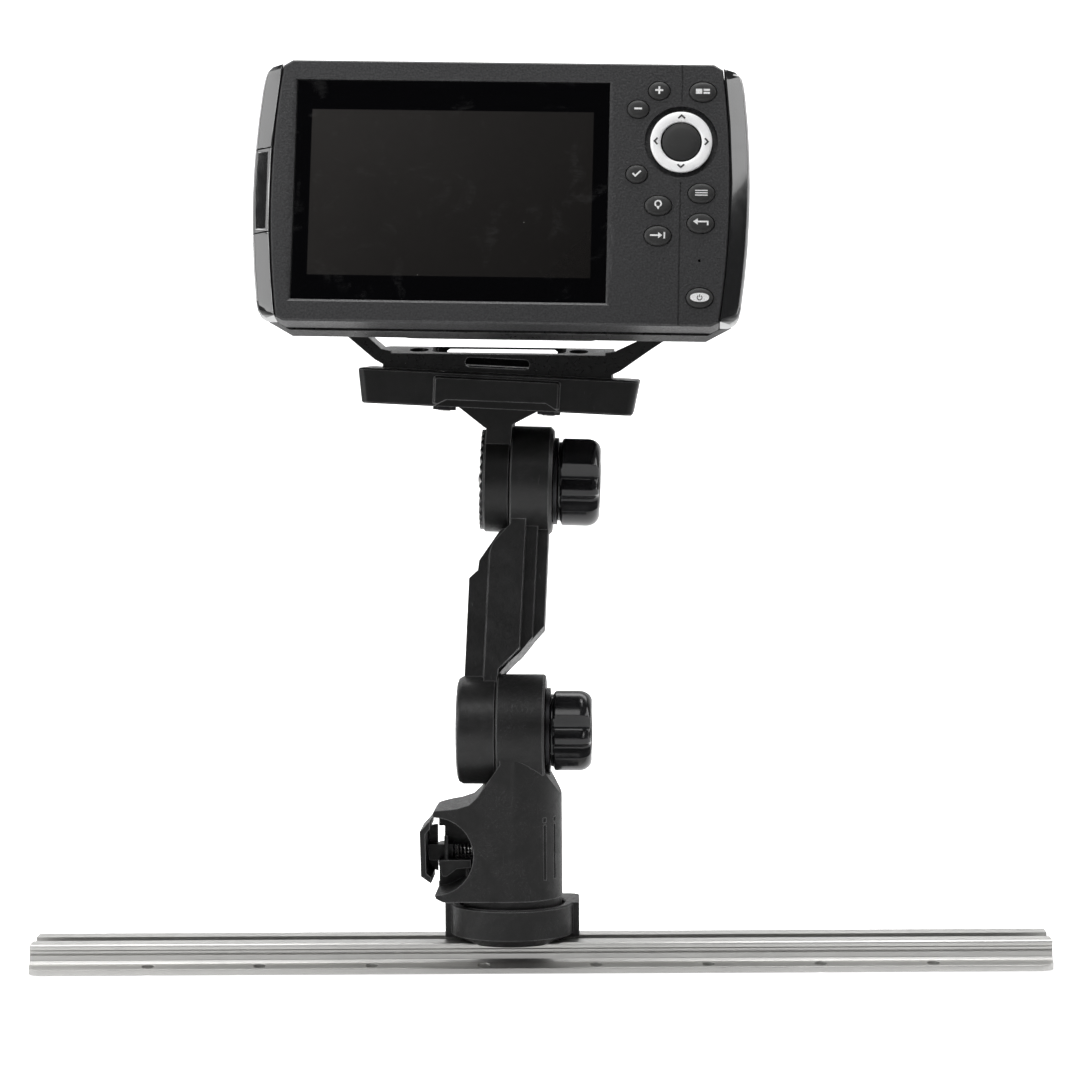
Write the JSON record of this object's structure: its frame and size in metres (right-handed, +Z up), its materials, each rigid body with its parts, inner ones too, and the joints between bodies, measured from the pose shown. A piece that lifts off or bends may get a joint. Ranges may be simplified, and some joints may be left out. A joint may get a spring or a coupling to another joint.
{
  "type": "fish finder",
  "caption": "Black portable fish finder head on a tilting gimbal bracket, carried by a jointed clutch arm and a swivel post that slide along a low aluminium T-track.",
  "frame": {"origin": "centre of the flat underside of the track", "axes": "+X along the track, to the right as seen from the screen side; +Y away from the viewer, to the back; +Z up"},
  "size_m": [0.4064, 0.1073, 0.359],
  "materials": {
    "aluminium": "satin clear anodised",
    "steel": "plain stainless",
    "black_steel": "black oxide",
    "brass": "plain",
    "nylon": "satin black glass-filled nylon",
    "knob_black": "glossy black",
    "bezel_grey": "fine textured charcoal",
    "gloss_black": "piano black",
    "screen_glass": "dark tinted cover glass",
    "panel_dark": "unlit display",
    "rubber": "matt black",
    "silver_white": "satin white",
    "board_green": "green solder mask"
  },
  "bodies": {
    "track": {"track_rail": "aluminium"},
    "slide_base": {"track_base": "nylon", "t_bolt_left": "steel", "t_bolt_right": "steel", "t_nut_left": "steel", "t_nut_right": "steel", "detent_ring": "nylon", "retaining_ring": "steel"},
    "post": {"post_body": "nylon", "trigger_spring": "steel"},
    "trigger": {"trigger": "nylon"},
    "catch": {"lock_catch": "nylon"},
    "arm": {"clutch_arm": "nylon", "lower_bolt": "steel"},
    "lower_washer": {"lower_washer": "black_steel"},
    "lower_knob": {"lower_knob": "knob_black", "lower_knob_insert": "brass"},
    "plate": {"mount_plate": "nylon", "upper_bolt": "steel", "plate_screw_left": "steel", "plate_screw_right": "steel", "plate_nut_left": "black_steel", "plate_nut_right": "black_steel", "gimbal_bracket": "nylon"},
    "upper_washer": {"upper_washer": "black_steel"},
    "upper_knob": {"upper_knob": "knob_black", "upper_knob_insert": "brass"},
    "head": {"front_bezel": "bezel_grey", "trim_left": "gloss_black", "trim_right": "gloss_black", "screen_glass": "screen_glass", "lcd_panel": "panel_dark", "keypad_mat": "rubber", "circuit_board": "board_green", "gps_antenna": "silver_white", "speaker": "rubber", "housing_seal": "rubber", "rear_housing": "nylon", "power_socket": "rubber", "sonar_socket": "rubber", "housing_screw_top_left": "steel", "housing_screw_top_right": "steel", "housing_screw_bottom_left": "steel", "housing_screw_bottom_right": "steel", "gimbal_washer_left": "rubber", "gimbal_washer_right": "rubber"},
    "gimbal_knob_left": {"gimbal_knob_left": "knob_black"},
    "gimbal_knob_right": {"gimbal_knob_right": "knob_black"},
    "card_door": {"card_door": "gloss_black"},
    "cursor_hub": {"cursor_hub": "rubber"},
    "cursor_ring": {"cursor_ring": "silver_white"},
    "key_zoom_in": {"key_zoom_in": "rubber"},
    "key_zoom_out": {"key_zoom_out": "rubber"},
    "key_check": {"key_check": "rubber"},
    "key_view": {"key_view": "rubber"},
    "key_menu": {"key_menu": "rubber"},
    "key_mark": {"key_mark": "rubber"},
    "key_exit": {"key_exit": "rubber"},
    "key_goto": {"key_goto": "rubber"},
    "key_power": {"key_power": "rubber"}
  },
  "joints": [
    {"name": "base_slide", "type": "slide", "parent": "track", "child": "slide_base", "axis": [1, 0, 0], "range_m": [-0.16, 0.182]},
    {"name": "post_swivel", "type": "hinge", "parent": "slide_base", "child": "post", "pos_m": [-0.0112, 0, 0], "axis": [0, 0, 1], "continuous": true},
    {"name": "trigger_pull", "type": "slide", "parent": "post", "child": "trigger", "axis": [0.9997, -0.0244, 0], "range_m": [0, 0.0038], "stiffness_N_per_m": 120},
    {"name": "catch_lift", "type": "slide", "parent": "post", "child": "catch", "axis": [0, 0, 1], "range_m": [0, 0.0037]},
    {"name": "arm_hinge", "type": "hinge", "parent": "post", "child": "arm", "pos_m": [-0.0165, 0, 0.0943], "axis": [0.9997, -0.0244, -0.007], "range_deg": [-45, 60]},
    {"name": "plate_hinge", "type": "hinge", "parent": "arm", "child": "plate", "pos_m": [-0.0107, 0.02635, 0.19309], "axis": [-0.9992, 0.0244, 0.0314], "range_deg": [-60, 60]},
    {"name": "head_tilt", "type": "hinge", "parent": "plate", "child": "head", "pos_m": [-0.01198, -0.0054, 0.29798], "axis": [0.9993, -0.0316, -0.022], "range_deg": [-25, 15]},
    {"name": "lower_washer_travel", "type": "slide", "parent": "arm", "child": "lower_washer", "axis": [0.9997, -0.0244, -0.007], "range_m": [0, 0.00127]},
    {"name": "lower_knob_spin", "type": "hinge", "parent": "lower_washer", "child": "lower_knob", "pos_m": [-0.0165, 0, 0.0943], "axis": [0.9997, -0.0244, -0.007], "range_deg": [0, 360]},
    {"name": "upper_washer_travel", "type": "slide", "parent": "plate", "child": "upper_washer", "axis": [0.9992, -0.0244, -0.0314], "range_m": [0, 0.00127]},
    {"name": "upper_knob_spin", "type": "hinge", "parent": "upper_washer", "child": "upper_knob", "pos_m": [-0.0107, 0.02635, 0.19309], "axis": [0.9992, -0.0244, -0.0314], "range_deg": [0, 360]},
    {"name": "gimbal_knob_left_spin", "type": "hinge", "parent": "head", "child": "gimbal_knob_left", "pos_m": [-0.01198, -0.0054, 0.29798], "axis": [-0.9993, 0.0316, 0.022], "range_deg": [0, 360]},
    {"name": "gimbal_knob_right_spin", "type": "hinge", "parent": "head", "child": "gimbal_knob_right", "pos_m": [-0.01198, -0.0054, 0.29798], "axis": [0.9993, -0.0316, -0.022], "range_deg": [0, 360]},
    {"name": "card_door_hinge", "type": "hinge", "parent": "head", "child": "card_door", "pos_m": [-0.10788, -0.03102, 0.30627], "axis": [-0.0282, -0.2106, -0.9772], "range_deg": [0, 75]},
    {"name": "cursor_rock_vertical", "type": "hinge", "parent": "head", "child": "cursor_hub", "pos_m": [0.05702, -0.03881, 0.32529], "axis": [0.9993, -0.0316, -0.022], "range_deg": [-3, 3], "stiffness_Nm_per_rad": 0.002},
    {"name": "cursor_rock_side", "type": "hinge", "parent": "cursor_hub", "child": "cursor_ring", "pos_m": [0.05702, -0.03881, 0.32529], "axis": [0.0282, 0.2106, 0.9772], "range_deg": [-3, 3], "stiffness_Nm_per_rad": 0.002},
    {"name": "key_zoom_in_press", "type": "slide", "parent": "head", "child": "key_zoom_in", "axis": [0.0263, 0.9771, -0.2113], "range_m": [0, 0.0008], "stiffness_N_per_m": 25},
    {"name": "key_zoom_out_press", "type": "slide", "parent": "head", "child": "key_zoom_out", "axis": [0.0263, 0.9771, -0.2113], "range_m": [0, 0.0008], "stiffness_N_per_m": 25},
    {"name": "key_check_press", "type": "slide", "parent": "head", "child": "key_check", "axis": [0.0263, 0.9771, -0.2113], "range_m": [0, 0.0008], "stiffness_N_per_m": 25},
    {"name": "key_view_press", "type": "slide", "parent": "head", "child": "key_view", "axis": [0.0263, 0.9771, -0.2113], "range_m": [0, 0.0008], "stiffness_N_per_m": 25},
    {"name": "key_menu_press", "type": "slide", "parent": "head", "child": "key_menu", "axis": [0.0263, 0.9771, -0.2113], "range_m": [0, 0.0008], "stiffness_N_per_m": 25},
    {"name": "key_mark_press", "type": "slide", "parent": "head", "child": "key_mark", "axis": [0.0263, 0.9771, -0.2113], "range_m": [0, 0.0008], "stiffness_N_per_m": 25},
    {"name": "key_exit_press", "type": "slide", "parent": "head", "child": "key_exit", "axis": [0.0263, 0.9771, -0.2113], "range_m": [0, 0.0008], "stiffness_N_per_m": 25},
    {"name": "key_goto_press", "type": "slide", "parent": "head", "child": "key_goto", "axis": [0.0263, 0.9771, -0.2113], "range_m": [0, 0.0008], "stiffness_N_per_m": 25},
    {"name": "key_power_press", "type": "slide", "parent": "head", "child": "key_power", "axis": [0.0263, 0.9771, -0.2113], "range_m": [0, 0.0008], "stiffness_N_per_m": 25}
  ],
  "couplings": [
    {"joint": "catch_lift", "follows": "trigger_pull", "ratio": 0.95},
    {"joint": "lower_knob_spin", "follows": "lower_washer_travel", "rad_per_m": 4940},
    {"joint": "upper_knob_spin", "follows": "upper_washer_travel", "rad_per_m": 4940}
  ]
}
